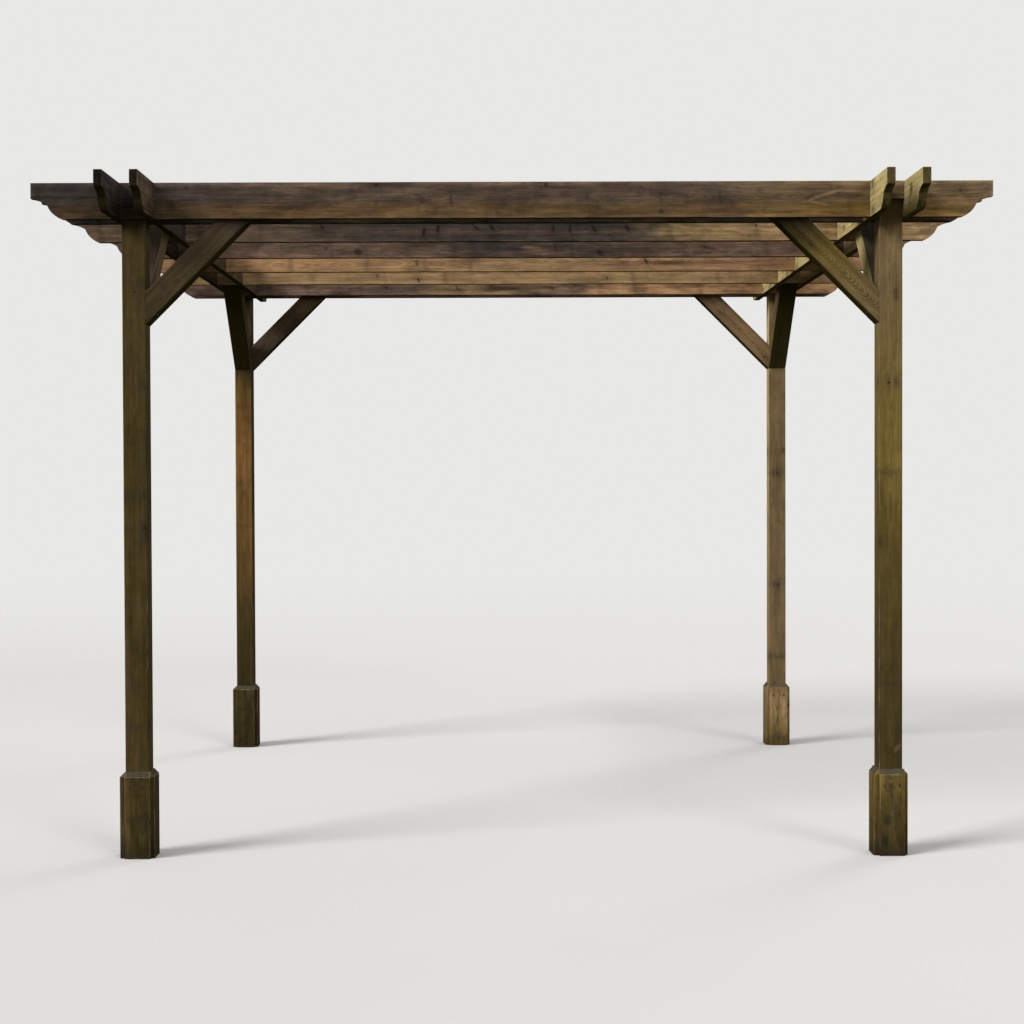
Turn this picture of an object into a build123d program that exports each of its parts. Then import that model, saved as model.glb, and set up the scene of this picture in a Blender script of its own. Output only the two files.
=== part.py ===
from build123d import *
import os

# Garden pergola in planed softwood: four square posts, a double beam on every side with its two
# boards either side of the posts, four single rafters between, and a knee brace each way at every
# post. Boards that cross are halved into each other, so that all their top edges are level.
# The origin is on the ground in the middle of the plan: X to the right, Y to the back, Z up.

# Driving dimensions in millimetres
post_width = 95
post_length = 2700
post_rounding = 5
board_length = 3850
cut_lengths = {
    "front_beam_outer": 3856,
    "front_beam_inner": 3838,
    "rafter_1": 3880,
    "back_beam_inner": 3880,
    "back_beam_outer": 3880,
}
board_depth = 145
board_thickness = 33
board_rounding = 2.5
frame_size = 3040
pair_gap = 104
underside_height = 2575
rafter_count = 4

# Shaped board end: a square nose, a cove below it and a round down to the lower edge
nose_height = 63
cove_length = 65
cove_drop = 24
cove_middle = (36, 9)
round_length = 61
round_middle = (23, 36)

# Halving joints, with a little play beside each board
halving_depth = board_depth / 2
halving_play = 0.75

# Knee braces, sawn from post stock at 45 degrees
brace_drop = 420
brace_rise = 90

# Boards that case the foot of each post
foot_height = 350
foot_width = 102
foot_thickness = 22
foot_top_land = 2
foot_rounding = 2

# Places worked out from the driving dimensions
pair_middle = frame_size / 2
inner_board = pair_middle - pair_gap / 2 - board_thickness / 2
outer_board = pair_middle + pair_gap / 2 + board_thickness / 2
post_middle = pair_middle + (pair_gap - post_width) / 2
post_inner_face = post_middle - post_width / 2
rafter_pitch = 2 * inner_board / (rafter_count + 1)
rafter_places = [rafter_pitch * (i - (rafter_count - 1) / 2) for i in range(rafter_count)]
side_beam_places = [-outer_board, -inner_board, inner_board, outer_board]
crossing_places = [-outer_board, -inner_board, *rafter_places, inner_board, outer_board]
halving_width = board_thickness + 2 * halving_play

corners = {
    "front_left": (-1, -1),
    "front_right": (1, -1),
    "back_left": (-1, 1),
    "back_right": (1, 1),
}

os.makedirs("parts", exist_ok=True)


def save(piece, name):
    """Label a finished piece and write it under its own name."""
    piece.part.label = name
    export_step(piece.part, f"parts/{name}.step")


def upright_plane(x, y, z, across):
    """Vertical plane through a point, its local x along the direction given and its local y up."""
    direction = Vector(*across, 0)
    return Plane(origin=(x, y, z), x_dir=direction, z_dir=direction.cross(Vector(0, 0, 1)))


def board_side_view(length):
    """Outline of a board seen from its broad side, with both ends shaped."""
    half = length / 2
    nose_foot = board_depth - nose_height
    cove_end = (half - cove_length, nose_foot - cove_drop)
    round_end = (half - cove_length - round_length, 0)
    with BuildLine() as outline:
        Polyline((0, board_depth), (half, board_depth), (half, nose_foot))
        ThreePointArc((half, nose_foot), (half - cove_middle[0], nose_foot - cove_middle[1]), cove_end)
        ThreePointArc(cove_end, (cove_end[0] - round_middle[0], cove_end[1] - round_middle[1]), round_end)
        Line(round_end, (0, 0))
        mirror(about=Plane.YZ)
    return outline.line


def shaped_board(plane, notch_places, notch_top, length=board_length, lost_tongue=None):
    """A board with shaped ends on an upright plane, halved where other boards cross it.

    notch_top says whether the notches open upwards. lost_tongue is the stretch, from one place to
    another, where the short tongue between two notches has broken out.
    """
    notch_middle = board_depth - halving_depth / 2 if notch_top else halving_depth / 2
    with BuildPart() as board:
        with BuildSketch(plane):
            make_face(board_side_view(length))
        extrude(amount=board_thickness / 2, both=True)
        fillet(board.edges().filter_by(Axis(plane.origin, plane.x_dir)), board_rounding)
        with BuildSketch(plane):
            with Locations(*[(place, notch_middle) for place in notch_places]):
                Rectangle(halving_width, halving_depth)
            if lost_tongue:
                start, end = lost_tongue
                with Locations(((start + end) / 2, notch_middle)):
                    Rectangle(end - start, halving_depth)
        extrude(amount=board_thickness, both=True, mode=Mode.SUBTRACT)
    return board


# Posts
for corner, (side, end) in corners.items():
    with BuildPart() as post:
        with BuildSketch(Plane.XY):
            with Locations((side * post_middle, end * post_middle)):
                RectangleRounded(post_width, post_width, post_rounding)
        extrude(amount=post_length)
    save(post, f"post_{corner}")

# Foot boards: each is level with one arris of the post and passes the next, round all four sides
foot_shift = (foot_width - post_width) / 2
foot_faces = {"front": (0, -1), "right": (1, 0), "back": (0, 1), "left": (-1, 0)}
for corner, (side, end) in corners.items():
    for face, (out_x, out_y) in foot_faces.items():
        foot_x = side * post_middle + out_x * post_width / 2 - out_y * foot_shift
        foot_y = end * post_middle + out_y * post_width / 2 + out_x * foot_shift
        with BuildPart() as foot_board:
            with BuildSketch(upright_plane(foot_x, foot_y, 0, (out_x, out_y))):
                with BuildLine():
                    Polyline(
                        (0, 0),
                        (foot_thickness, 0),
                        (foot_thickness, foot_height - foot_thickness + foot_top_land),
                        (foot_top_land, foot_height),
                        (0, foot_height),
                        close=True,
                    )
                make_face()
            extrude(amount=foot_width / 2, both=True)
            outward = Axis((0, 0, 0), (out_x, out_y, 0))
            upright_edges = foot_board.edges().filter_by(Axis.Z)
            fillet(upright_edges.group_by(outward)[-1], foot_rounding)
        save(foot_board, f"foot_{corner}_{face}")

# Side beams, front to back, notched from above at every board that crosses them
for name, place in zip(("left_outer", "left_inner", "right_inner", "right_outer"), side_beam_places):
    beam_plane = upright_plane(place, 0, underside_height, (0, 1))
    save(shaped_board(beam_plane, crossing_places, True), f"side_beam_{name}")

# Front and back beams and rafters, left to right, notched from below over the four side beams.
# The outermost front board has lost the tongue between its two right-hand notches.
cross_boards = {
    "front_beam_outer": -outer_board,
    "front_beam_inner": -inner_board,
    "back_beam_inner": inner_board,
    "back_beam_outer": outer_board,
}
for number, place in enumerate(rafter_places, 1):
    cross_boards[f"rafter_{number}"] = place
for name, place in cross_boards.items():
    board_plane = upright_plane(0, place, underside_height, (1, 0))
    length = cut_lengths.get(name, board_length)
    lost_tongue = (inner_board, outer_board) if name == "front_beam_outer" else None
    save(shaped_board(board_plane, side_beam_places, False, length, lost_tongue), name)


def knee_brace(plane):
    """A brace against the inner face of a post, its head up between the two boards of a beam."""
    cut = post_width * 2**0.5
    with BuildPart() as brace:
        with BuildSketch(plane):
            with BuildLine():
                Polyline(
                    (0, -brace_drop),
                    (brace_drop + brace_rise, brace_rise),
                    (brace_drop + brace_rise - cut, brace_rise),
                    (0, cut - brace_drop),
                    close=True,
                )
            make_face()
        extrude(amount=post_width / 2, both=True)
        slope = Axis(plane.origin, plane.x_dir + plane.y_dir)
        fillet(brace.edges().filter_by(slope), post_rounding)
    return brace


# Knee braces: one along the front or back beam and one along the side beam at each post
for corner, (side, end) in corners.items():
    cross_plane = upright_plane(side * post_inner_face, end * post_middle, underside_height, (-side, 0))
    save(knee_brace(cross_plane), f"cross_brace_{corner}")
    side_plane = upright_plane(side * post_middle, end * post_inner_face, underside_height, (0, -end))
    save(knee_brace(side_plane), f"side_brace_{corner}")
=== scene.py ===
import math
import random

import bmesh
import bpy
from bpy.props import FloatProperty, FloatVectorProperty, IntProperty, PointerProperty
from mathutils import Matrix, Vector


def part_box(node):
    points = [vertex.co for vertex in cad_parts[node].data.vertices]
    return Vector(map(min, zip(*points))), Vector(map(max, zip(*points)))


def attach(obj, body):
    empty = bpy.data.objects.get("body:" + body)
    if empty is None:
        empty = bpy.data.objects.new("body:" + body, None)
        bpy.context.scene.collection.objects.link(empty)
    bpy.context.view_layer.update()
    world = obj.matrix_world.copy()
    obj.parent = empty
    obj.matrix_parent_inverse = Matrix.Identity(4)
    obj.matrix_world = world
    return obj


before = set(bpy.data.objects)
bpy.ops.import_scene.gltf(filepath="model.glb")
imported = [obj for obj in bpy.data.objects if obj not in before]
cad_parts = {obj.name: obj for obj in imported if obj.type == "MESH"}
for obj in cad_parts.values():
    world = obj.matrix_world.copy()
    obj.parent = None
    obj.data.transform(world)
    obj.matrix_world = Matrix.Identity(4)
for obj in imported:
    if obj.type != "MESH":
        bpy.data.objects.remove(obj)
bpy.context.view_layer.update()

bl_info = {
    "name": "Garden Pergola",
    "version": (1, 0, 0),
    "blender": (4, 5, 0),
    "location": "3D View > Sidebar > Pergola",
    "description": "Stained timber, screws, stage and camera for an open garden pergola",
    "category": "Object",
}

CORNERS = ("front_left", "front_right", "back_left", "back_right")
RIGHT, BACK, UP = Vector((1, 0, 0)), Vector((0, 1, 0)), Vector((0, 0, 1))
OUTWARD = {"front": -BACK, "right": RIGHT, "back": BACK, "left": -RIGHT}

# Knots and dark blots by timber: the place along and up it, size, how tall, how slanted and how dark
KNOTS = {
    "post_front_left": ((0.938, -0.003, 0.005, 1, 0, 0.9),),
    "post_front_right": ((0.919, -0.02, 0.032, 0.35, 0, 0.5),),
    "foot_front_right_front": (
        (0.114, -0.006, 0.016, 0.9, 0, 0.6), (0.08, -0.002, 0.014, 0.6, 0.1, 0.5),
        (-0.02, -0.019, 0.022, 0.8, 0, 0.6), (-0.1, -0.03, 0.024, 0.6, 0, 0.6),
    ),
    "side_beam_right_outer": ((-1.731, 0.022, 0.025, 0.9, 0, 0.75),),
    "front_beam_outer": (
        (-1.306, 0.05, 0.005, 1, 0, 0.7), (-0.905, -0.003, 0.008, 1.2, 0, 0.25),
        (-0.79, -0.01, 0.008, 1.2, 0, 0.25), (-0.545, 0.062, 0.007, 1.5, 0.1, 0.8),
        (-0.545, -0.012, 0.01, 1.5, 0, 0.35), (-0.362, -0.003, 0.012, 1.4, 0.1, 0.4),
        (-0.245, 0, 0.007, 3.6, 0.05, 0.5), (-0.035, -0.012, 0.015, 1.2, 0.1, 0.35),
        (0.115, 0.05, 0.005, 1.5, 0, 0.5), (0.135, 0.06, 0.008, 1.3, 0, 0.85),
        (0.299, 0.014, 0.006, 3, 0, 0.25), (0.343, -0.03, 0.012, 1.4, 0, 0.4),
        (0.596, 0.004, 0.006, 4.5, 0.05, 0.4), (0.596, -0.045, 0.009, 1.3, 0, 0.6),
        (0.832, 0.004, 0.008, 3.6, 0, 0.4), (0.989, 0.035, 0.012, 1, 0, 0.35),
        (1.185, 0.003, 0.009, 1.4, -0.6, 0.5), (1.797, 0.036, 0.008, 1, 0, 0.5),
    ),
    "back_beam_inner": (
        (-0.302, -0.033, 0.008, 2, 0.2, 0.6), (0.238, -0.034, 0.006, 2, 0.2, 0.8),
        (-0.03, -0.036, 0.1, 0.13, 0, 0.75), (0.22, -0.03, 0.06, 0.12, 0, 0.65),
    ),
    "rafter_1": (
        (-0.834, -0.007, 0.008, 1.5, 0.3, 0.8), (-0.386, -0.03, 0.009, 2.6, -0.15, 0.95),
        (-0.324, -0.015, 0.009, 2.2, -0.1, 0.95), (-0.157, -0.012, 0.008, 1.8, 1.1, 0.95),
        (-0.086, -0.012, 0.009, 2, 0.5, 0.95), (0.182, -0.016, 0.008, 2.4, 0, 0.9),
        (0.257, -0.018, 0.008, 2.6, 0.05, 0.9), (0.363, -0.02, 0.008, 2.6, 0.5, 0.9),
        (0.508, -0.015, 0.009, 1.9, 0.3, 0.9), (1.076, -0.006, 0.007, 1, 0, 0.9),
    ),
    "rafter_2": (
        (-0.874, -0.03, 0.008, 1.2, 0, 0.6), (-0.723, -0.045, 0.02, 0.8, 0.3, 0.8),
        (0.207, -0.02, 0.008, 2, 0.1, 0.6), (0.419, -0.05, 0.015, 0.9, 0.4, 0.85),
        (0.934, -0.03, 0.03, 0.5, 2.5, 0.6),
    ),
    "rafter_3": (
        (-0.473, -0.028, 0.011, 1.5, 0.1, 0.6), (0.682, -0.022, 0.009, 2.2, 0.5, 0.8),
        (0.8, -0.031, 0.1, 0.11, 0, 0.75),
    ),
    "rafter_4": (
        (-0.713, -0.028, 0.006, 1.8, 0, 0.7), (-0.493, -0.05, 0.007, 2, 0.2, 0.8),
        (0.518, -0.043, 0.007, 1.5, 0, 0.7),
    ),
}

# Pale figure in the grain and scuffs, with how strong they are in the last place
SWIRLS = {
    "post_front_right": ((-0.913, -0.03, 0.013, 1.4, 0.8, 0.22),),
    "front_beam_outer": ((1.241, 0.013, 0.02, 1.2, -3, 0.6), (1.225, -0.017, 0.02, 0.6, 4, 0.4)),
    "rafter_1": ((0.75, -0.01, 0.04, 0.4, 3, 0.4),),
    "rafter_2": ((0.1, -0.03, 0.05, 0.25, 2, 0.3),),
    "rafter_3": ((0.79, -0.03, 0.09, 0.12, 2.5, 0.6),),
}


def paint(red, green, blue):
    """A colour as a paint chart gives it, 0 to 255 each, in the linear values that a shader takes."""
    parts = []
    for value in (red / 255, green / 255, blue / 255):
        parts.append(value / 12.92 if value <= 0.04045 else ((value + 0.055) / 1.055) ** 2.4)
    return tuple(parts)


def colour_setting(name, description, chart):
    return FloatVectorProperty(
        name=name, description=description, subtype="COLOR", size=3, min=0, max=1, default=paint(*chart)
    )


class StainSettings(bpy.types.PropertyGroup):
    """Colours of the brown stain, by how much the wood drank and how long the weather has been at it, with
    tones that are painted sunlight and painted shade
    """

    # Partly painted shade: this near-black tone stands for shade falling on the timber as well as for a
    # darker stain
    smoky_and_shade: colour_setting("Smoky", "Greyish near-black brown", (61, 54, 49))
    umber: colour_setting("Umber", "Plain middle brown", (87, 73, 58))
    tawny: colour_setting("Tawny", "Lighter middle brown", (112, 94, 64))
    golden: colour_setting("Golden", "Thin stain over bright wood", (147, 120, 85))
    amber: colour_setting("Amber", "Thin stain over orange heartwood", (158, 122, 87))
    copper: colour_setting("Copper", "Middle brown over orange sapwood", (130, 95, 50))
    russet: colour_setting("Russet", "Middle brown over red heartwood", (98, 79, 67))
    # Partly painted light: the greenish cast of ochre, olive and moss is painted green bounce light, and the
    # darkness of olive and moss is in part painted shade
    ochre: colour_setting("Ochre", "Lighter greenish brown", (104, 88, 42))
    olive: colour_setting("Olive", "Dark greenish brown", (62, 52, 25))
    moss: colour_setting("Moss", "Deepest greenish brown", (46, 39, 18))
    # Painted sunlight: the palest tone stands for direct sun falling on the faces that carry it
    painted_sun_straw: colour_setting("Straw", "Palest, sun-bleached stain", (190, 170, 116))
    late_wood: colour_setting("Late wood", "Multiplies the stain on a ring's dark line", (120, 104, 88))
    cool: colour_setting("Cool", "Multiplies the stain where the sky greys it", (247, 246, 255))
    warm: colour_setting("Warm", "Multiplies the stain where it stays warm", (254, 240, 200))
    pale_figure: colour_setting("Pale figure", "Grain that swirls pale round a knot", (150, 122, 82))
    red_wood: colour_setting("Red wood", "Reddish streaks of heartwood", (112, 82, 68))
    deep_stain: colour_setting("Deep stain", "Where the wood has drunk most stain", (38, 35, 33))
    knot: colour_setting("Knot", "Heart of a knot", (22, 18, 15))
    end_grain: colour_setting("End grain", "Multiplies the stain on sawn ends", (114, 108, 97))
    bare_arris: colour_setting("Worn arris", "Corners where the stain has worn thin", (138, 118, 84))
    # Partly painted light: the grey on faces that look up stands for sky light on them as well as for greying
    # by rain
    weathered_and_sky_lit: colour_setting("Weathered", "Greyed by rain on open faces", (68, 64, 57))
    # Painted shade: this near-black olive stands for the shade under downward faces, with a greenish cast of
    # painted bounce light
    painted_underside_shade: colour_setting("Underside", "Faces that no rain or sun bleaches", (58, 54, 25))
    ground_soil: colour_setting("Soil splash", "Rain splash near the ground", (44, 39, 22))


def length_setting(name, description, default, least, most):
    return FloatProperty(
        name=name, description=description, default=default, min=least, max=most, unit="LENGTH"
    )


class ScrewSettings(bpy.types.PropertyGroup):
    """Sizes of the screws that hold the timbers together"""

    head_width: length_setting("Head width", "Across the screw's head", 0.0085, 0.004, 0.02)
    head_rise: length_setting("Head rise", "How far the head stands proud", 0.0009, 0.0003, 0.003)
    from_side: length_setting("From the side", "Screw to the board's edge", 0.022, 0.01, 0.04)
    from_ground: length_setting("From the ground", "Lower screws above the ground", 0.021, 0.01, 0.1)
    from_toe: length_setting("From the toe", "Brace screws up from the brace's toe", 0.06, 0.03, 0.15)
    apart_in_brace: length_setting("Apart in a brace", "Between a brace's two screws", 0.045, 0.02, 0.07)
    lobes: IntProperty(name="Recess lobes", description="Lobes of the driver recess", default=6, min=4, max=8)


def strength_setting(name, description, default):
    return FloatProperty(name=name, description=description, default=default, min=0)


class StageSettings(bpy.types.PropertyGroup):
    """Floor, light and background"""

    floor: colour_setting("Floor", "Plain studio floor", (206, 205, 202))
    backdrop: colour_setting("Backdrop", "What is seen past the floor", (232, 232, 230))
    bounce: colour_setting("Bounce", "What the floor throws back on the timber", (78, 80, 60))
    key_strength: strength_setting("Key light", "Soft light from the front left", 3.3)
    fill_strength: strength_setting("Fill light", "Soft light from the front right", 1.2)
    rear_strength: strength_setting("Rear light", "Soft light from behind", 0.7)
    sky_strength: strength_setting("Sky strength", "Even light from all round", 0.42)


class PergolaSettings(bpy.types.PropertyGroup):
    """All settings of the pergola's finish"""

    stain: PointerProperty(type=StainSettings)
    screws: PointerProperty(type=ScrewSettings)
    stage: PointerProperty(type=StageSettings)


def socket_name(key):
    """The name of a socket, for what a Python argument calls it."""
    return key.replace("_", " ").title()


class Wiring:
    """Adds nodes to a node tree; an input is given as a value or as another node's output."""

    def __init__(self, tree):
        self.tree = tree

    def node(self, kind, inputs=None, **settings):
        made = self.tree.nodes.new(kind)
        for name, value in settings.items():
            setattr(made, name, value)
        return self.feed(made, inputs or {})

    def feed(self, node, inputs):
        """Gives a node its inputs, by their names or numbers."""
        for key, value in inputs.items():
            socket = node.inputs[key]
            if isinstance(value, bpy.types.NodeSocket):
                self.tree.links.new(value, socket)
            elif socket.type == "RGBA" and len(value) == 3:
                socket.default_value = (*value, 1)
            else:
                socket.default_value = value
        return node

    def math(self, operation, a, b=0.0, c=0.0):
        return self.node("ShaderNodeMath", {0: a, 1: b, 2: c}, operation=operation).outputs[0]

    def add(self, total, *terms):
        for term in terms:
            total = self.math("ADD", total, term)
        return total

    def times(self, product, *factors):
        for factor in factors:
            product = self.math("MULTIPLY", product, factor)
        return product

    def minus(self, a, b):
        return self.math("SUBTRACT", a, b)

    def line(self, value, slope, start):
        return self.math("MULTIPLY_ADD", value, slope, start)

    def hypot(self, a, b):
        return self.math("SQRT", self.line(a, a, self.times(b, b)))

    def vector(self, operation, a, b=(0, 0, 0)):
        return self.node("ShaderNodeVectorMath", {0: a, 1: b}, operation=operation).outputs[0]

    def split(self, vector):
        return self.node("ShaderNodeSeparateXYZ", {0: vector}).outputs

    def join(self, x, y, z):
        return self.node("ShaderNodeCombineXYZ", {0: x, 1: y, 2: z}).outputs[0]

    def bell(self, distance, steepness):
        """1 where the distance is 0, falling away from there in a bell curve."""
        return self.math("EXPONENT", self.times(distance, distance, -steepness))

    def step(self, value, low, high, at_low=0.0, at_high=1.0):
        """Smooth change from one value to another as the input passes from low to high."""
        inputs = {0: value, 1: low, 2: high, 3: at_low, 4: at_high}
        return self.node("ShaderNodeMapRange", inputs, interpolation_type="SMOOTHSTEP").outputs[0]

    def noise(self, vector, scale=1.0, detail=2.0, roughness=0.5):
        inputs = {"Vector": vector, "Scale": scale, "Detail": detail, "Roughness": roughness}
        return self.node("ShaderNodeTexNoise", inputs).outputs[0]

    def drawn_out(self, place, scales, shift, detail=2.0, roughness=0.5):
        """Noise with a scale of its own along, across and up the timber, shifted by a vector."""
        inputs = {0: place, 1: scales, 2: shift}
        place = self.node("ShaderNodeVectorMath", inputs, operation="MULTIPLY_ADD").outputs[0]
        return self.noise(place, 1.0, detail, roughness)

    def cells(self, place, randomness):
        """Uneven cells along a line, with the middle of each as W and a random colour."""
        inputs = {"W": place, "Scale": 1.0, "Randomness": randomness}
        return self.node("ShaderNodeTexVoronoi", inputs, voronoi_dimensions="1D").outputs

    def group(self, tree, *sources, **values):
        """The outputs of a finished node group, whose other inputs come from the sources by name."""
        wanted = [item.name for item in tree.interface.items_tree if item.in_out == "INPUT"]
        inputs = {socket.name: socket for source in sources for socket in source if socket.name in wanted}
        inputs.update((socket_name(key), value) for key, value in values.items())
        return self.node("ShaderNodeGroup", inputs, node_tree=tree).outputs

    def close(self, **results):
        """Links the results to a node group's outputs and returns the group."""
        self.node("NodeGroupOutput", {socket_name(key): value for key, value in results.items()})
        return self.tree

    def colour(self, factor, a, b, mode="MIX"):
        inputs = {0: factor, 6: a, 7: b}
        return self.node("ShaderNodeMix", inputs, data_type="RGBA", blend_type=mode).outputs[2]


VECTOR_SOCKETS = ("Vector", "Place", "Normal", "Pith", "Lean", "Half Size")
COLOUR_SOCKETS = ("Tone", "Color")


def new_group(name, inputs, outputs):
    """What an empty node group with named sockets is given, by name, and the group's wiring."""
    group = bpy.data.node_groups.new(name, "ShaderNodeTree")
    for in_out, names in (("INPUT", inputs), ("OUTPUT", outputs)):
        for socket in names:
            kind = "Vector" if socket in VECTOR_SOCKETS else "Color" if socket in COLOUR_SOCKETS else "Float"
            group.interface.new_socket(socket, in_out=in_out, socket_type=f"NodeSocket{kind}")
    w = Wiring(group)
    return w.node("NodeGroupInput").outputs, w


def new_material(name):
    """A material, its shader, and the wiring of its node tree."""
    material = bpy.data.materials.new(name)
    material.use_nodes = True
    return material, material.node_tree.nodes["Principled BSDF"], Wiring(material.node_tree)


def pith_group():
    """Where a point lies in the log: how far from the pith, which way round it, and how far up the tree."""
    given, w = new_group(
        "Place in the log", ("Vector", "Pith", "Lean", "Wander", "Seed"), ("Radius", "Angle", "Along")
    )
    along, across, up = w.split(given["Vector"])
    pith = w.split(given["Pith"])
    lean = w.split(given["Lean"])
    slow = w.join(w.times(along, 1.1), given["Seed"], 0.0)
    drift = w.node("ShaderNodeTexNoise", {"Vector": slow, "Detail": 1.0})
    drift_across, drift_up, _ = w.split(drift.outputs["Color"])
    ways = ((across, pith[1], lean[1], drift_across), (up, pith[2], lean[2], drift_up))
    from_pith = []
    for place, middle, slope, noise in ways:
        bent = w.line(slope, along, middle)
        swing = w.times(w.minus(noise, 0.5), given["Wander"])
        from_pith.append(w.minus(place, w.add(bent, swing)))
    return w.close(
        radius=w.hypot(*from_pith),
        angle=w.math("ARCTAN2", from_pith[1], from_pith[0]),
        along=along,
    )


def knots_group():
    """Whorls of branches that run outwards and upwards from the pith, cut by the timber's faces."""
    given, w = new_group(
        "Knots", ("Radius", "Angle", "Along", "Spacing", "Size", "Share", "Seed"), ("Core", "Halo", "Swell")
    )
    climb = 0.3
    round_cell = 1.15
    whorl_height = 0.016
    least_width = 0.0005
    height = w.line(given["Radius"], -climb, given["Along"])
    storey = w.add(w.math("DIVIDE", height, given["Spacing"]), given["Seed"])
    whorl = w.cells(storey, 0.75)
    up_log = w.times(w.minus(storey, whorl["W"]), given["Spacing"])
    turned, strength, _ = w.split(whorl["Color"])
    bearing = w.line(turned, 37.0, w.math("DIVIDE", given["Angle"], round_cell))
    branch = w.cells(bearing, 0.8)
    luck, darkness, lot = w.split(branch["Color"])
    beside = w.times(w.minus(bearing, branch["W"]), round_cell, given["Radius"])
    present = w.math("LESS_THAN", luck, given["Share"])
    size = w.times(given["Size"], w.step(lot, 0.0, 1.0, 0.45, 1.0), present)
    width = w.math("MAXIMUM", size, least_width)
    grain = w.join(w.times(up_log, 60.0), w.times(beside, 110.0), given["Seed"])
    ragged = w.add(w.math("DIVIDE", w.hypot(up_log, beside), width), w.times(w.noise(grain, 1.0), 0.9))
    stretched = w.math("DIVIDE", w.hypot(w.times(up_log, 0.4), beside), width)
    core = w.times(w.step(ragged, 1.8, 0.7), w.step(darkness, 0.0, 1.0, 0.25, 1.0))
    halo = w.times(w.bell(stretched, 0.13), present)
    shade = w.times(w.bell(w.math("DIVIDE", up_log, whorl_height), 1.0), w.times(strength, 0.6))
    return w.close(
        core=w.times(core, present),
        halo=w.math("MAXIMUM", halo, shade),
        swell=w.times(w.bell(stretched, 0.28), w.times(size, 0.8)),
    )


def placed_knot_group():
    """A knot at a given place on a board's broad side. A tall one is a branch that was sawn lengthwise."""
    given, w = new_group(
        "Placed knot",
        ("Vector", "Place", "Size", "Tall", "Slant", "Dark", "Core", "Halo", "Swell"),
        ("Core", "Halo", "Swell"),
    )
    most_swell = 0.006
    off_along, _, off_up = w.split(w.vector("SUBTRACT", given["Vector"], given["Place"]))
    off_along = w.line(given["Slant"], off_up, off_along)
    off_up = w.math("DIVIDE", off_up, given["Tall"])
    uneven = w.noise(w.vector("MULTIPLY", given["Vector"], (120, 120, 70)), 1.0)
    near = w.line(uneven, 1.1, w.math("DIVIDE", w.hypot(off_along, off_up), given["Size"]))
    far = w.math("DIVIDE", w.hypot(w.times(off_along, 0.4), off_up), given["Size"])
    falling = w.bell(far, 0.2)
    return w.close(
        core=w.math("MAXIMUM", given["Core"], w.times(w.step(near, 1.95, 0.95), given["Dark"])),
        halo=w.math("MAXIMUM", given["Halo"], w.times(falling, w.line(given["Dark"], 0.5, 0.3))),
        swell=w.add(given["Swell"], w.times(falling, w.math("MINIMUM", given["Size"], most_swell))),
    )


def rings_group():
    """Growth rings: pale early wood that darkens into a sharp line of late wood."""
    given, w = new_group(
        "Growth rings",
        ("Vector", "Radius", "Swell", "Ring Width", "Sap Radius", "Seed"),
        ("Late", "Year", "Sap"),
    )
    slow = w.drawn_out(given["Vector"], (1.3, 7, 7), w.join(given["Seed"], 0.0, 0.0), 1.0)
    quick = w.drawn_out(given["Vector"], (7, 60, 60), w.join(0.0, 0.0, given["Seed"]))
    waver = w.add(w.times(w.minus(slow, 0.5), 0.01), w.times(w.minus(quick, 0.5), 0.0018))
    radius = w.add(given["Radius"], given["Swell"], waver)
    years = w.math("DIVIDE", radius, given["Ring Width"])
    season = w.math("FRACT", years)
    year = w.node(
        "ShaderNodeTexWhiteNoise", {"W": w.add(w.math("FLOOR", years), given["Seed"])}, noise_dimensions="1D"
    ).outputs[0]
    late = w.times(w.step(season, 0.3, 0.9), w.step(season, 1.0, 0.94))
    return w.close(
        late=w.times(late, w.step(year, 0.0, 1.0, 0.55, 1.0)),
        year=year,
        sap=w.step(w.minus(radius, given["Sap Radius"]), -0.014, 0.016),
    )


def fibre_group():
    """Fine fibres drawn out along the grain, and hairline drying checks."""
    given, w = new_group(
        "Fibres", ("Vector", "Angle", "Checks", "Seed"), ("Fibre", "Streak", "Thread", "Check")
    )
    shift = w.join(given["Seed"], 0.0, 0.0)
    fine = w.drawn_out(given["Vector"], (14, 700, 700), shift, 3.0, 0.6)
    broad = w.drawn_out(given["Vector"], (1.6, 55, 55), shift, 3.0, 0.6)
    middle = w.drawn_out(given["Vector"], (9, 190, 190), w.join(0.0, 0.0, given["Seed"]), 2.0, 0.6)
    sides = w.join(
        w.times(w.math("COSINE", given["Angle"]), 7.0),
        w.times(w.math("SINE", given["Angle"]), 7.0),
        w.add(w.times(w.split(given["Vector"])[0], 0.9), given["Seed"]),
    )
    split_line = w.math("ABSOLUTE", w.minus(w.noise(sides, 1.0, 2.0, 0.6), 0.5))
    where = w.drawn_out(given["Vector"], (1.7, 6, 6), w.vector("MULTIPLY", shift, (3, 0, 0)), 1.0)
    open_to = w.times(w.step(where, 0.5, 0.68), 0.011)
    check = w.step(w.minus(split_line, open_to), 0.0, -0.006)
    return w.close(fibre=fine, streak=broad, thread=middle, check=w.times(check, given["Checks"]))


def arris_group():
    """How near a point is to an arris of a squared timber, from the timber's half sizes."""
    given, w = new_group("Arris", ("Vector", "Half Size", "Width", "Seed"), ("Wear", "Edge"))
    depth = w.vector("SUBTRACT", given["Half Size"], w.vector("ABSOLUTE", given["Vector"]))
    along, across, up = w.split(depth)
    lower = w.math("MINIMUM", across, up)
    upper = w.math("MAXIMUM", across, up)
    nearest = w.math("MAXIMUM", lower, w.math("MINIMUM", upper, along))
    rubbed = w.drawn_out(given["Vector"], (7, 30, 30), w.join(given["Seed"], 0.0, 0.0), 4.0, 0.65)
    reach = w.math("MAXIMUM", w.times(given["Width"], w.step(rubbed, 0.35, 0.75, 0.0, 1.6)), 0.0002)
    return w.close(
        wear=w.step(nearest, reach, w.times(reach, 0.3)),
        edge=w.step(nearest, 0.02, 0.0),
    )


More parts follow.
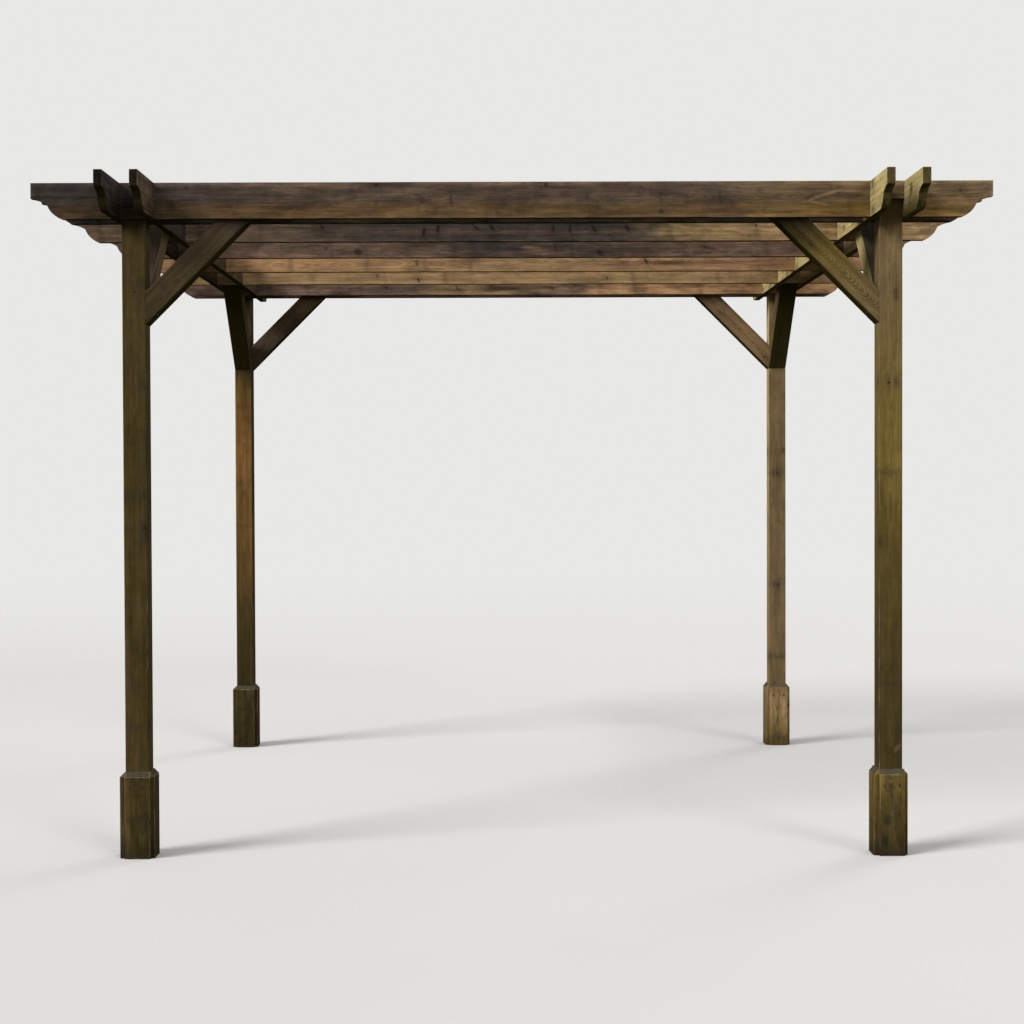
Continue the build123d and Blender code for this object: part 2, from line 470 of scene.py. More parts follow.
def patches_group():
    """Slow changes along a board: where it has drunk more stain, and where the wood runs red or light."""
    given, w = new_group("Patches", ("Vector", "Seed"), ("Deep", "Band", "Red", "Light", "Sway"))

    def cloud(stretch, width, offset, detail=3.0):
        shift = w.join(w.times(given["Seed"], offset), 0.0, 0.0)
        return w.drawn_out(given["Vector"], (stretch, width, width), shift, detail, 0.6)

    return w.close(
        deep=w.step(cloud(5.5, 20.0, 1.3, 4.0), 0.47, 0.72),
        band=w.step(cloud(17.0, 9.0, 6.7), 0.5, 0.68),
        red=w.step(cloud(2.1, 26.0, 2.9), 0.48, 0.68),
        light=w.step(cloud(8.5, 28.0, 4.1, 4.0), 0.3, 0.7),
        sway=w.minus(cloud(2.4, 12.0, 5.3, 2.0), 0.5),
    )


def drip_group():
    """A dark stain that spreads round a screw and runs down from it."""
    given, w = new_group("Screw stain", ("Vector", "Place", "Fall", "So Far"), ("Mask",))
    off_along, _, off_up = w.split(w.vector("SUBTRACT", given["Vector"], given["Place"]))
    ragged = w.noise(w.vector("MULTIPLY", given["Vector"], (30, 240, 240)), 1.0, 3.0, 0.6)
    fallen = w.math("MAXIMUM", w.times(off_along, -1.0), 0.0)
    above = w.math("MAXIMUM", off_along, 0.0)
    narrow = w.math("DIVIDE", off_up, w.line(ragged, 0.009, 0.0035))
    spread = w.hypot(narrow, w.add(w.math("DIVIDE", fallen, given["Fall"]), w.times(above, 160.0)))
    mask = w.times(w.step(spread, 1.15, 0.15), w.step(ragged, 0.25, 0.6, 0.35, 1.0))
    return w.close(mask=w.math("MAXIMUM", given["So Far"], mask))


def stained_wood_group(groups, stain):
    """The whole finish of one timber, from its own place in the log and the tone of its stain there, with
    painted shade on faces that turn down and painted sky light on faces that look up
    """
    given, w = new_group(
        "Stained softwood",
        (
            "Vector", "Normal", "World Up", "Height", "Half Size",
            "Radius", "Angle", "Core", "Halo", "Swell", "Pale",
            "Ring Width", "Sap Radius", "Tone", "Redness", "Depth", "Contrast",
            "Grain", "Greying", "Checks", "Drip", "Seed",
        ),
        ("Color", "Roughness", "Sheen", "Height"),
    )

    worn_width = 0.0042
    rings, fibres, patches = (w.group(groups[name], given) for name in ("rings", "fibres", "patches"))
    arris = w.group(groups["arris"], given, width=worn_width)
    streak = fibres["Streak"]

    wood = w.colour(w.times(patches["Red"], given["Redness"], 0.7), given["Tone"], stain.red_wood)
    late = w.colour(1.0, wood, stain.late_wood, "MULTIPLY")
    wood = w.colour(w.times(rings["Late"], given["Contrast"]), wood, late)
    sap_tone = w.step(rings["Sap"], 0.0, 1.0, 0.93, 1.09)
    year_tone = w.step(rings["Year"], 0.0, 1.0, 0.95, 1.06)
    band_tone = w.step(patches["Band"], 0.0, 1.0, 1.04, 0.84)
    light_tone = w.times(w.step(patches["Light"], 0.0, 1.0, 0.82, 1.24), band_tone)
    uneven = w.math("MINIMUM", w.times(given["Depth"], 2.0), 1.0)
    light_tone = w.line(w.minus(light_tone, 1.0), uneven, 1.0)
    fibre_tone = w.step(fibres["Fibre"], 0.25, 0.75, 0.84, 1.14)
    thread_tone = w.step(fibres["Thread"], 0.3, 0.7, 0.84, 1.16)
    streak_tone = w.times(w.step(streak, 0.3, 0.7, 0.78, 1.22), thread_tone)
    grain_tone = w.line(w.minus(w.times(fibre_tone, streak_tone), 1.0), given["Grain"], 1.0)
    # Painted highlight: where Greying is set, the stain lightens within 20 mm of each arris, as light caught
    # on the edges
    painted_edge_highlight = w.line(w.times(arris["Edge"], given["Greying"]), 0.32, 0.97)
    tone = w.times(sap_tone, year_tone, light_tone, grain_tone, painted_edge_highlight)
    wood = w.vector("MULTIPLY", wood, w.join(tone, tone, tone))
    up = w.split(given["Vector"])[2]
    open_to_sky = w.step(w.line(streak, 0.05, up), -0.02, 0.05)
    greyed = w.colour(1.0, wood, w.colour(open_to_sky, stain.warm, stain.cool), "MULTIPLY")
    wood = w.colour(given["Greying"], wood, greyed)
    for amount, layer in (
        (w.times(patches["Deep"], given["Depth"], 0.85), stain.deep_stain),
        (w.times(given["Pale"], w.step(streak, 0.3, 0.6, 0.35, 1.0)), stain.pale_figure),
        (w.times(given["Halo"], 0.55), stain.deep_stain), (w.times(given["Core"], 0.85), stain.knot),
    ):
        wood = w.colour(amount, wood, layer)
    facing_end = w.math("ABSOLUTE", w.split(given["Normal"])[0])
    end_grain = w.step(facing_end, 0.5, 0.98)
    wood = w.colour(end_grain, wood, w.colour(1.0, wood, stain.end_grain, "MULTIPLY"))
    # Faces that look up turn grey, for greying by rain and for painted sky light
    rain_and_sky_light = w.times(w.step(given["World Up"], 0.35, 0.7), w.step(streak, 0.3, 0.65, 0.5, 0.85))
    # Painted shade: faces that turn down darken to the underside tone, with a greenish cast of painted bounce
    # light
    painted_shade_below = w.times(w.step(given["World Up"], -0.3, -0.75), w.step(streak, 0.3, 0.7, 0.95, 0.75))
    soil = w.times(w.step(w.line(streak, 0.05, given["Height"]), 0.1, 0.01), 0.5)
    for amount, layer in (
        (rain_and_sky_light, stain.weathered_and_sky_lit), (painted_shade_below, stain.painted_underside_shade),
        (w.times(arris["Wear"], 0.42), stain.bare_arris), (soil, stain.ground_soil),
        (w.times(given["Drip"], 0.75), stain.deep_stain), (w.times(fibres["Check"], 0.9), stain.knot),
    ):
        wood = w.colour(amount, wood, layer)

    rough = w.add(
        w.times(fibres["Fibre"], -0.25), w.times(end_grain, 0.15), w.times(given["Core"], -0.12), 0.845
    )
    relief = w.add(
        w.times(rings["Late"], 0.16), w.times(fibres["Fibre"], 0.22), w.times(streak, 0.35),
        w.times(given["Core"], 0.3), w.times(fibres["Check"], -1.6),
    )
    sheen = w.times(w.step(given["World Up"], -0.5, 0.0), w.step(streak, 0.3, 0.7, 0.05, 0.11))
    return w.close(color=wood, roughness=rough, sheen=sheen, height=relief)


GROUPS = {}


def wood_groups():
    """All node groups of the timber, made once."""
    if not GROUPS:
        GROUPS.update(
            pith=pith_group(), knots=knots_group(), placed=placed_knot_group(), rings=rings_group(),
            fibres=fibre_group(), arris=arris_group(), patches=patches_group(), drip=drip_group(),
        )
        GROUPS["wood"] = stained_wood_group(GROUPS, bpy.context.scene.pergola.stain)
    return GROUPS


PLAIN_WOOD = {
    "ring_width": 0.0035, "redness": 0.5, "depth": 0.5, "contrast": 0.4, "grain": 1.0,
    "greying": 0.0, "checks": 0.0,
}


def stained_timber(
    name, along, across, seed, tones, pith, lean, wander=0.02, knot_size=0.009, knot_spacing=0.24,
    knot_share=0.55, screws=(), half_size=None, off_middle=Vector(), painted_light_side=None, **wood,
):
    """Gives a CAD timber its own stained wood, with the grain along it and the pith off its middle.

    tones are the stain's colours by name, each with the place along the timber where it lies; some of them
    are painted sunlight or painted shade. pith, lean and the places of knots, swirls and screws are in the
    timber's
    own directions: along, across, up. A screw's last value is how far its stain runs down. half_size and
    off_middle are for a timber that doesn't fill its box. painted_light_side is the tone painted on the side
    that faces against across, as painted sunlight or painted shade on that side. wood is what differs from
    plain wood.
    """
    groups = wood_groups()
    stain = bpy.context.scene.pergola.stain
    low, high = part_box(name)
    centre = (low + high) / 2 + off_middle
    turn = Matrix((along, across, along.cross(across)))
    if half_size is None:
        half_size = Vector(abs(value) for value in turn @ (high - low)) / 2

    material, shader, w = new_material(f"stained_{name}")
    coordinates = w.node("ShaderNodeTexCoord").outputs
    angles = turn.to_euler("XYZ")
    mapping = {"Vector": coordinates["Object"], "Location": -(turn @ centre), "Rotation": angles}
    place = w.node("ShaderNodeMapping", mapping).outputs[0]
    turning = {"Vector": coordinates["Normal"], "Rotation": angles}
    facing = w.node("ShaderNodeMapping", turning, vector_type="NORMAL").outputs[0]
    log = w.group(groups["pith"], vector=place, pith=(0, *pith), lean=(0, *lean), wander=wander, seed=seed)

    def with_spots(table, knot=()):
        """Adds the spots that a table has for the timber to what there is so far."""
        for spot_along, spot_up, size, tall, slant, dark in table.get(name, ()):
            knot = w.group(
                groups["placed"], knot, vector=place, place=(spot_along, 0, spot_up), size=size, tall=tall,
                slant=slant, dark=dark,
            )
        return knot

    whorls = w.group(groups["knots"], log, spacing=knot_spacing, size=knot_size, share=knot_share, seed=seed)
    knot = with_spots(KNOTS, whorls)
    swirl = with_spots(SWIRLS)
    drip = 0.0
    for spot_along, spot_up, fall in screws:
        spot = (spot_along, 0, spot_up)
        drip = w.group(groups["drip"], vector=place, place=spot, fall=fall, so_far=drip)["Mask"]
    reach = half_size.x
    sway = w.group(groups["patches"], vector=place, seed=seed)["Sway"]
    swayed = w.line(sway, 0.5 * reach, log["Along"])
    part_way = w.line(swayed, 0.5 / reach, 0.5)
    run = w.node("ShaderNodeValToRGB", {"Fac": part_way})
    stops = run.color_ramp.elements
    for index, (stop, tone) in enumerate(tones):
        element = stops[index] if index < 2 else stops.new(1.0)
        element.position = 0.5 + 0.5 * stop / reach
        element.color = (*getattr(stain, tone), 1)
    tone = run.outputs["Color"]
    # Painted light: the side that faces against across takes its own tone, painted sunlight or painted shade
    # on that side
    if painted_light_side:
        tone = w.colour(w.step(w.split(facing)[1], -0.8, -0.2), getattr(stain, painted_light_side), tone)
    finish = w.group(
        groups["wood"], log, knot, vector=place, normal=facing, world_up=w.split(coordinates["Normal"])[2],
        height=w.split(coordinates["Object"])[2], half_size=half_size, tone=tone, drip=drip, seed=seed,
        pale=swirl["Core"] if swirl else 0.0, **{**PLAIN_WOOD, **wood},
    )
    bump = w.node("ShaderNodeBump", {"Strength": 0.8, "Distance": 0.001, "Height": finish["Height"]})
    w.feed(shader, {
        "Base Color": finish["Color"], "Roughness": finish["Roughness"], "Specular IOR Level": 0.0,
        "Coat Weight": finish["Sheen"], "Coat Roughness": 0.55, "Normal": bump.outputs[0],
    })
    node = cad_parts[name]
    node.data.materials.clear()
    node.data.materials.append(material)


def within(draw, *limits):
    """A random value for each limit, that far to either side of 0 at the most."""
    return tuple(draw.uniform(-limit, limit) for limit in limits)


class PERGOLA_OT_posts(bpy.types.Operator):
    """Finish the four posts, which are sawn round the heart of the log"""

    bl_idname = "pergola.posts"
    bl_label = "Posts"

    def execute(self, context):
        draw = random.Random(11)
        # Painted light on the back posts: on the back left one, copper is a patch of painted sunlight with
        # olive above it as painted shade, and moss on its right face is painted shade; on the back right one,
        # golden and straw are painted sunlight, with tawny on its front face as the side in shade
        tones = {
            "front_left": ((-0.9, "olive"), (0.9, "olive")),
            "front_right": ((-0.6, "olive"), (0.4, "ochre"), (1.1, "tawny")),
            "back_left": ((-1.2, "moss"), (-0.6, "olive"), (0.5, "copper"), (0.82, "olive")),
            "back_right": ((-0.9, "golden"), (0.9, "painted_sun_straw")),
        }
        painted_light_sides = {"back_left": "moss", "back_right": "tawny"}
        for number, corner in enumerate(CORNERS):
            stained_timber(
                f"post_{corner}", UP, -RIGHT if corner == "back_left" else BACK, seed=3.7 + 5.1 * number,
                tones=tones[corner], painted_light_side=painted_light_sides.get(corner),
                pith=within(draw, 0.012, 0.014), lean=within(draw, 0.004, 0.004),
                sap_radius=0.043, ring_width=0.0032, wander=0.016, redness=0.2, depth=0.3, contrast=0.2,
                grain=0.5, checks=0.5, knot_size=0.007, knot_spacing=0.32, knot_share=0.3,
            )
        return {"FINISHED"}


class PERGOLA_OT_foot_boards(bpy.types.Operator):
    """Finish the sixteen boards that case the feet of the posts"""

    bl_idname = "pergola.foot_boards"
    bl_label = "Foot boards"

    def execute(self, context):
        draw = random.Random(23)
        tones = {
            "front_left": ((-0.2, "moss"), (-0.04, "olive")),
            "front_right": ((-0.16, "moss"), (0.16, "ochre")),
            "back_left": ((-0.1, "moss"), (0.16, "olive")),
            "back_right": ((-0.16, "ochre"), (0.1, "golden")),
        }
        below_bevel = Vector((0.165, 0.011, 0.051))
        off_middle = Vector((0, 0, -0.01))
        upper_screws = ((0.125, -0.029, 0.02), (0.125, 0.029, 0.014))
        boards = [(corner, face) for corner in CORNERS for face in OUTWARD]
        for number, (corner, face) in enumerate(boards):
            stained_timber(
                f"foot_{corner}_{face}", UP, OUTWARD[face], seed=41.3 + 4.7 * number, tones=tones[corner],
                pith=(draw.uniform(-0.07, -0.04), *within(draw, 0.02)), lean=within(draw, 0.03, 0.02),
                sap_radius=0.075, redness=0.2, depth=0.5, contrast=0.35, grain=0.7, knot_spacing=0.21,
                knot_share=0.2, screws=upper_screws, half_size=below_bevel, off_middle=off_middle,
            )
        return {"FINISHED"}


class PERGOLA_OT_beams(bpy.types.Operator):
    """Finish the paired side, front and back beams"""

    bl_idname = "pergola.beams"
    bl_label = "Beams"

    def execute(self, context):
        draw = random.Random(37)
        # On the right beams, straw is painted sunlight on the faces towards the middle, and tawny on their
        # right faces stands for those faces in shade; these beams also get less mottling
        side_tones = {
            # The smoky on the left beams is in part painted shade
            "left_outer": ((-1.4, "smoky_and_shade"), (0.6, "umber")),
            "left_inner": ((-1.8, "umber"), (-1.1, "smoky_and_shade"), (0.6, "umber")),
            "right_inner": ((-1.4, "painted_sun_straw"), (1.0, "painted_sun_straw")),
            "right_outer": ((-1.4, "painted_sun_straw"), (0.2, "golden"), (1.4, "tawny")),
        }
        for number, (name, tones) in enumerate(side_tones.items()):
            # Painted light: the right beams carry painted sunlight
            painted_sunlit = name.startswith("right")
            stained_timber(
                f"side_beam_{name}", BACK, -RIGHT, seed=101.9 + 6.3 * number, tones=tones,
                pith=(draw.choice((-1, 1)) * draw.uniform(0.03, 0.06), *within(draw, 0.03)),
                lean=within(draw, 0.006, 0.008), sap_radius=0.08, redness=0.15,
                depth=0.1 if painted_sunlit else 0.6, painted_light_side="tawny" if painted_sunlit else None,
            )
        # greying here also paints a highlight along this beam's arrises
        stained_timber(
            "front_beam_outer", RIGHT, BACK, seed=151.9,
            # The smoky left end of the front beam is in part painted shade
            tones=((-1.5, "smoky_and_shade"), (-0.9, "umber"), (0.8, "umber"), (1.2, "tawny")),
            pith=(0.01, 0.012), lean=(0.003, 0.0), sap_radius=0.05, redness=0.3, depth=0.6, contrast=0.3,
            greying=1.0, knot_spacing=0.27, knot_share=0.0,
        )
        cross_tones = {
            # The smoky on front_beam_inner is painted shade
            "front_beam_inner": ((-1.2, "smoky_and_shade"), (1.2, "smoky_and_shade"), (1.5, "russet")),
            "back_beam_inner": (
                (-1.3, "russet"), (-0.45, "russet"), (-0.2, "golden"), (0.25, "russet"), (0.6, "amber"),
            ),
            "back_beam_outer": ((-1.2, "russet"), (1.2, "umber")),
        }
        for number, (name, tones) in enumerate(cross_tones.items()):
            stained_timber(
                name, RIGHT, BACK, seed=170.7 + 6.9 * number, tones=tones,
                pith=(draw.uniform(0.02, 0.05), *within(draw, 0.03)), lean=within(draw, 0.006, 0.008),
                sap_radius=0.07, depth=0.6,
            )
        return {"FINISHED"}


class PERGOLA_OT_rafters(bpy.types.Operator):
    """Finish the four single rafters"""

    bl_idname = "pergola.rafters"
    bl_label = "Rafters"

    def execute(self, context):
        draw = random.Random(53)
        # The smoky stretches of the first two rafters are in part painted shade
        umber = ((-1.4, "umber"), (-0.4, "smoky_and_shade"), (0.5, "smoky_and_shade"), (0.8, "tawny"), (1.1, "golden"))
        russet = ((-1.3, "russet"), (-0.6, "russet"), (-0.2, "smoky_and_shade"), (0.3, "smoky_and_shade"), (0.8, "russet"))
        amber = ((-1.0, "amber"), (0.0, "golden"), (1.0, "amber"))
        golden = ((-1.0, "golden"), (1.0, "golden"))
        kinds = (
            (umber, 0.5, 0.7, 1.0), (russet, 0.9, 0.9, 1.0),
            (amber, 0.8, 0.3, 0.75), (golden, 0.2, 0.3, 0.75),
        )
        for number, (tones, redness, depth, grain) in enumerate(kinds, 1):
            stained_timber(
                f"rafter_{number}", RIGHT, BACK, seed=210.1 + 7.7 * number, tones=tones,
                pith=(draw.uniform(0.01, 0.035), draw.uniform(-0.03, 0.05)), lean=within(draw, 0.008, 0.008),
                sap_radius=0.07, redness=redness, depth=depth, contrast=0.3, grain=grain,
                knot_spacing=0.25, knot_share=0.1,
            )
        return {"FINISHED"}


def brace_runs(corner):
    """The two braces of a corner, each with the level direction in which it leaves the post."""
    inward = RIGHT if corner.endswith("left") else -RIGHT
    backward = BACK if corner.startswith("front") else -BACK
    return ("cross", inward), ("side", backward)


class PERGOLA_OT_braces(bpy.types.Operator):
    """Finish the eight knee braces"""

    bl_idname = "pergola.braces"
    bl_label = "Knee braces"

    def execute(self, context):
        draw = random.Random(71)
        half_length, half_width = 0.36, 0.0475
        # Painted light on the braces: the back right cross brace is golden at its toe as painted sunlight and
        # umber at its head as painted shade; the front left side brace's golden stands for light on its right
        # face, with umber on its left face; the front right side brace's straw on its left face is painted
        # sunlight
        tones = {
            "front_left": ((-0.36, "olive"), (0.36, "umber")),
            "front_right": ((-0.3, "tawny"), (0.0, "ochre"), (0.12, "olive"), (0.24, "moss")),
            "back_left": ((-0.2, "umber"), (0.2, "olive")), "back_right": ((-0.1, "golden"), (0.3, "umber")),
        }
        side_tones = {
            "front_left": ((-0.2, "umber"), (0.1, "golden")), "back_right": ((-0.2, "tawny"), (0.3, "olive")),
        }
        painted_light_sides = {"front_left": "umber", "front_right": "painted_sun_straw"}
        contrasts = (0.4, 0.65, 0.4, 0.6)
        slopes = (0.03, 0.13, 0.04, 0.03)
        for number, (corner, contrast, slope) in enumerate(zip(CORNERS, contrasts, slopes)):
            for turn, (name, run) in enumerate(brace_runs(corner)):
                along = (run + UP).normalized()
                across = run.cross(UP)
                on_side = name == "side"
                stained_timber(
                    f"{name}_brace_{corner}", along, across, seed=300.7 + 5.9 * (2 * number + turn),
                    tones=side_tones.get(corner, tones[corner]) if on_side else tones[corner],
                    painted_light_side=painted_light_sides.get(corner) if on_side else None,
                    pith=(draw.choice((-1, 1)) * draw.uniform(0.055, 0.08), *within(draw, 0.02)),
                    lean=(draw.choice((-1, 1)) * slope, *within(draw, 0.01)),
                    sap_radius=0.2, ring_width=0.0026, redness=0.1, depth=0.2, contrast=contrast,
                    grain=0.8, knot_size=0.008, knot_spacing=0.3, knot_share=0.4,
                    half_size=Vector((half_length, half_width, half_width)),
                    off_middle=(UP - run).normalized() * half_width,
                )
        return {"FINISHED"}


def screw_metal():
    """Zinc-plated steel that has been stained over and has dulled."""
    material = bpy.data.materials.get("dulled_screw")
    if material:
        return material
    material, shader, w = new_material("dulled_screw")
    place = w.node("ShaderNodeTexCoord").outputs["Object"]
    blotch = w.step(w.noise(place, 900.0, 3.0, 0.6), 0.35, 0.65)
    scratch = w.noise(w.vector("MULTIPLY", place, (2500, 2500, 300)), 1.0, 2.0)
    bump = w.node("ShaderNodeBump", {"Strength": 0.4, "Distance": 0.0002, "Height": scratch})
    w.feed(shader, {
        "Base Color": w.colour(blotch, paint(34, 30, 25), paint(16, 13, 10)),
        "Roughness": w.step(blotch, 0.0, 1.0, 0.6, 0.85), "Metallic": w.step(blotch, 0.0, 1.0, 0.4, 0.05),
        "Normal": bump.outputs[0],
    })
    return material


def add_screw(mesh, place, outward, turned, sizes):
    """Adds one raised countersunk head with a lobed driver recess, its closed foot in the timber's face."""
    radius, rise = sizes.head_width / 2, sizes.head_rise
    profile = ((0.97, 0.35), (0.86, 0.7), (0.68, 0.95), (0.52, 1.0))
    lobe_depth = 0.24
    head = bmesh.new()
    rim = bmesh.ops.create_circle(head, cap_ends=True, segments=24, radius=radius)["verts"]
    top = head.faces[:][0]
    for share, height in profile:
        top = bmesh.ops.extrude_discrete_faces(head, faces=[top])["faces"][0]
        shrink = share * radius / top.verts[0].co.xy.length
        bmesh.ops.scale(head, vec=(shrink, shrink, 1), verts=top.verts)
        for vertex in top.verts:
            vertex.co.z = height * rise
    for vertex in top.verts:
        angle = math.atan2(vertex.co.y, vertex.co.x)
        lobe = 1 - lobe_depth * (0.5 - 0.5 * math.cos(sizes.lobes * angle))
        vertex.co.x *= lobe
        vertex.co.y *= lobe
    sunk = bmesh.ops.extrude_discrete_faces(head, faces=[top])["faces"][0]
    bmesh.ops.scale(head, vec=(0.93, 0.93, 0.15), verts=sunk.verts)
    head.faces.new(rim)
    across = outward.orthogonal().normalized()
    turn = Matrix((across, outward.cross(across), outward)).transposed().to_4x4()
    spin = Matrix.Rotation(turned, 4, "Z")
    bmesh.ops.transform(head, matrix=Matrix.Translation(place) @ turn @ spin, verts=head.verts)
    bmesh.ops.recalc_face_normals(head, faces=head.faces)
    part = bpy.data.meshes.new("screw")
    head.to_mesh(part)
    head.free()
    mesh.from_mesh(part)
    bpy.data.meshes.remove(part)


def make_piece(name, mesh, material):
    """Turns a finished bmesh into a piece of the pergola."""
    data = bpy.data.meshes.new(name)
    mesh.to_mesh(data)
    mesh.free()
    data.materials.append(material)
    piece = bpy.data.objects.new(name, data)
    bpy.context.scene.collection.objects.link(piece)
    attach(piece, "root")


class PERGOLA_OT_foot_screws(bpy.types.Operator):
    """Model the four screws in each foot board"""

    bl_idname = "pergola.foot_screws"
    bl_label = "Foot screws"

    def execute(self, context):
        sizes = context.scene.pergola.screws
        draw = random.Random(5)
        drops = (0.053, 0.07, 0.058, 0.062)
        for corner, drop in zip(CORNERS, drops):
            mesh = bmesh.new()
            for face, outward in OUTWARD.items():
                low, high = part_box(f"foot_{corner}_{face}")
                centre = (low + high) / 2
                sideways = UP.cross(outward)
                from_middle = abs((high - low).dot(sideways)) / 2 - sizes.from_side
                half_depth = abs((high - low).dot(outward)) / 2
                for height in (high.z - drop, sizes.from_ground):
                    for side in (-1, 1):
                        place = centre + outward * half_depth + sideways * side * from_middle
                        place += sideways * draw.uniform(-0.002, 0.002)
                        place.z = height + draw.uniform(-0.003, 0.003)
                        add_screw(mesh, place, outward, draw.uniform(0, 1), sizes)
            make_piece(f"foot_screws_{corner}", mesh, screw_metal())
        return {"FINISHED"}


class PERGOLA_OT_brace_screws(bpy.types.Operator):
    """Model the two screws that hold the lower end of each knee brace to its post"""

    bl_idname = "pergola.brace_screws"
    bl_label = "Brace screws"

    def execute(self, context):
        sizes = context.scene.pergola.screws
        draw = random.Random(7)
        for corner in CORNERS:
            mesh = bmesh.new()
            for name, run in brace_runs(corner):
                low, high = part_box(f"{name}_brace_{corner}")
                toe = (low + high) / 2 - run * abs((high - low).dot(run)) / 2
                toe.z = low.z
                toe += (run + UP).normalized() * sizes.from_toe
                sideways = run.cross(UP) * sizes.apart_in_brace / 2
                outward = (run - UP).normalized()
                for side in (-1, 1):
                    add_screw(mesh, toe + side * sideways, outward, draw.uniform(0, 1), sizes)
            make_piece(f"brace_screws_{corner}", mesh, screw_metal())
        return {"FINISHED"}


class PERGOLA_OT_roof_screws(bpy.types.Operator):
    """Model the screw down through each halved joint of the roof"""

    bl_idname = "pergola.roof_screws"
    bl_label = "Roof screws"

    def execute(self, context):
        sizes = context.scene.pergola.screws
        draw = random.Random(9)
        mesh = bmesh.new()
        front, back = ("front_beam_outer", "front_beam_inner"), ("back_beam_inner", "back_beam_outer")
        rafters = [f"rafter_{number}" for number in range(1, 5)]
        for cross_board in (*front, *rafters, *back):
            low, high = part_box(cross_board)
            for side_board in ("left_outer", "left_inner", "right_inner", "right_outer"):
                left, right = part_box(f"side_beam_{side_board}")
                place = Vector(((left.x + right.x) / 2, (low.y + high.y) / 2, high.z - sizes.head_rise))
                place += Vector((*within(draw, 0.004, 0.004), 0))
                add_screw(mesh, place, UP, draw.uniform(0, 1), sizes)
        make_piece("roof_screws", mesh, screw_metal())
        return {"FINISHED"}


class PERGOLA_OT_stage(bpy.types.Operator):
    """Set up the floor, soft lights, background and camera"""

    bl_idname = "pergola.stage"
    bl_label = "Stage"

    def execute(self, context):
        settings = context.scene.pergola.stage
        make_floor(settings)
        light_backdrop(settings)
        sources = {"key": (-0.7, -0.45, 0.56), "fill": (0.5, -0.8, 0.33), "rear": (0.55, 0.7, 0.45)}
        for name, source in sources.items():
            soft_light(f"{name}_light", source, getattr(settings, f"{name}_strength"))
        place_camera()
        return {"FINISHED"}


def make_floor(settings):
    """A wide round floor that fades into the backdrop at its rim."""
    radius, fade_start, fade_end = 60.0, 5.0, 22.0
    mesh = bmesh.new()
    bmesh.ops.create_circle(mesh, cap_ends=True, segments=96, radius=radius)
    data = bpy.data.meshes.new("studio_floor")
    mesh.to_mesh(data)
    mesh.free()
    material, shader, w = new_material("studio_floor")
    place = w.node("ShaderNodeTexCoord").outputs["Object"]
    distance = w.node("ShaderNodeVectorMath", {0: place}, operation="LENGTH").outputs["Value"]
    mottle = w.noise(place, 0.8, 3.0)
    pale = [min(1.0, value * 1.03) for value in settings.floor]
    colour = w.colour(mottle, settings.floor, pale)
    w.feed(shader, {"Base Color": colour, "Roughness": 0.9, "Specular IOR Level": 0.1})
    glow = w.node("ShaderNodeEmission", {"Color": settings.backdrop, "Strength": 1.0})
    bounce = w.node("ShaderNodeBsdfDiffuse", {"Color": settings.bounce})
    seen = seen_directly(w)
    near = w.node("ShaderNodeMixShader", {0: seen, 1: bounce.outputs[0], 2: shader.outputs[0]})
    far = w.times(w.step(distance, fade_start, fade_end), seen)
    fade = w.node("ShaderNodeMixShader", {0: far, 1: near.outputs[0], 2: glow.outputs[0]})
    w.feed(w.tree.nodes["Material Output"], {"Surface": fade.outputs[0]})
    data.materials.append(material)
    floor = bpy.data.objects.new("studio_floor", data)
    bpy.context.scene.collection.objects.link(floor)


def seen_directly(w):
    """1 for what the camera sees, also in metal or through glass, and 0 for what lights the timber."""
    rays = w.node("ShaderNodeLightPath").outputs
    in_metal_or_glass = w.math("MAXIMUM", rays["Is Glossy Ray"], rays["Is Transmission Ray"])
    return w.math("MAXIMUM", rays["Is Camera Ray"], in_metal_or_glass)


def light_backdrop(settings):
    """Even light from all round, behind a plain pale backdrop."""
    world = bpy.data.worlds.new("studio")
    bpy.context.scene.world = world
    world.use_nodes = True
    w = Wiring(world.node_tree)
    w.tree.nodes.clear()
    light = w.node("ShaderNodeBackground", {"Color": (1, 1, 1, 1), "Strength": settings.sky_strength})
    backdrop = w.node("ShaderNodeBackground", {"Color": settings.backdrop, "Strength": 1.0})
    mixed = w.node("ShaderNodeMixShader", {0: seen_directly(w), 1: light.outputs[0], 2: backdrop.outputs[0]})
    w.node("ShaderNodeOutputWorld", {"Surface": mixed.outputs[0]})


def soft_light(name, source, strength):
    """A very soft lamp, equally strong all over the floor, that shines from the direction given."""
    softness = math.radians(24)
    data = bpy.data.lights.new(name, "SUN")
    data.angle = softness
    data.energy = strength
    lamp = bpy.data.objects.new(name, data)
    lamp.rotation_euler = Vector(source).to_track_quat("Z", "Y").to_euler()
    bpy.context.scene.collection.objects.link(lamp)


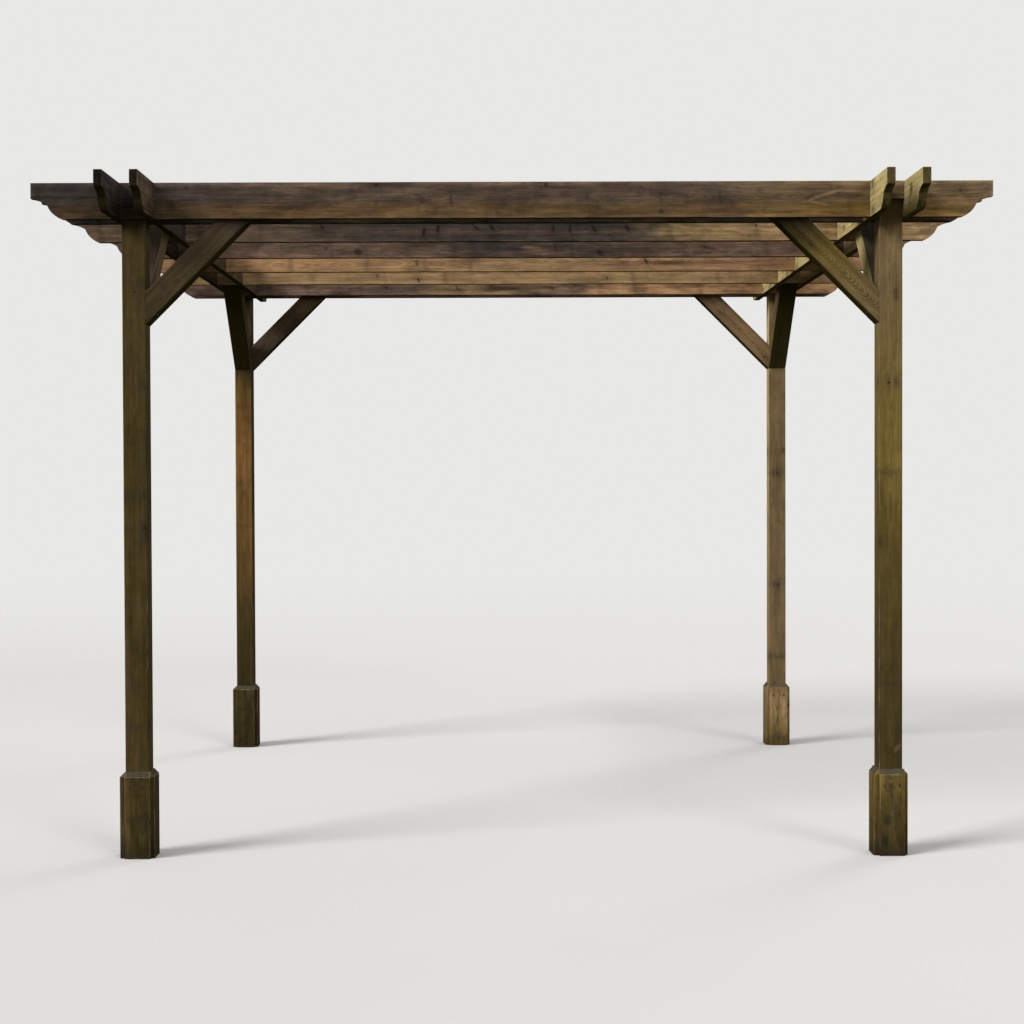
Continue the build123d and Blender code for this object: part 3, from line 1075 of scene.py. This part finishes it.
def place_camera():
    """The camera at eye height in front, with a slight turn, dip and roll."""
    position = (-0.0335, -8.886, 1.53)
    turn, dip, roll = math.radians(0.22), math.radians(-1.05), math.radians(0.2)
    forward = Vector((math.sin(turn) * math.cos(dip), math.cos(turn) * math.cos(dip), math.sin(dip)))
    level = Vector((math.cos(turn), -math.sin(turn), 0))
    upright = level.cross(forward)
    right = math.cos(roll) * level - math.sin(roll) * upright
    up = math.sin(roll) * level + math.cos(roll) * upright
    data = bpy.data.cameras.new("camera")
    data.sensor_width = 36
    data.lens = 63.72
    data.clip_end = 300
    camera = bpy.data.objects.new("camera", data)
    aim = Matrix((right, up, -forward)).transposed().to_4x4()
    camera.matrix_world = Matrix.Translation(position) @ aim
    bpy.context.scene.collection.objects.link(camera)
    bpy.context.scene.camera = camera
    bpy.context.scene.view_settings.view_transform = "Standard"


class PERGOLA_PT_panel(bpy.types.Panel):
    """Lists the pergola's operators and settings"""

    bl_idname = "PERGOLA_PT_panel"
    bl_label = "Garden Pergola"
    bl_space_type = "VIEW_3D"
    bl_region_type = "UI"
    bl_category = "Pergola"

    def draw(self, context):
        for operator in OPERATORS:
            self.layout.operator(operator.bl_idname)
        settings = context.scene.pergola
        for group in (settings.stain, settings.screws, settings.stage):
            box = self.layout.box()
            for name in group.bl_rna.properties.keys():
                if name not in ("rna_type", "name"):
                    box.prop(group, name)


OPERATORS = (
    PERGOLA_OT_posts, PERGOLA_OT_foot_boards, PERGOLA_OT_beams, PERGOLA_OT_rafters, PERGOLA_OT_braces,
    PERGOLA_OT_foot_screws, PERGOLA_OT_brace_screws, PERGOLA_OT_roof_screws, PERGOLA_OT_stage,
)
CLASSES = (StainSettings, ScrewSettings, StageSettings, PergolaSettings, *OPERATORS, PERGOLA_PT_panel)


def register():
    for cls in CLASSES:
        bpy.utils.register_class(cls)
    bpy.types.Scene.pergola = PointerProperty(type=PergolaSettings)


def unregister():
    del bpy.types.Scene.pergola
    for cls in reversed(CLASSES):
        bpy.utils.unregister_class(cls)


def main():
    register()
    for operator in OPERATORS:
        area, call = operator.bl_idname.split(".")
        getattr(getattr(bpy.ops, area), call)()


if __name__ == "__main__":
    main()
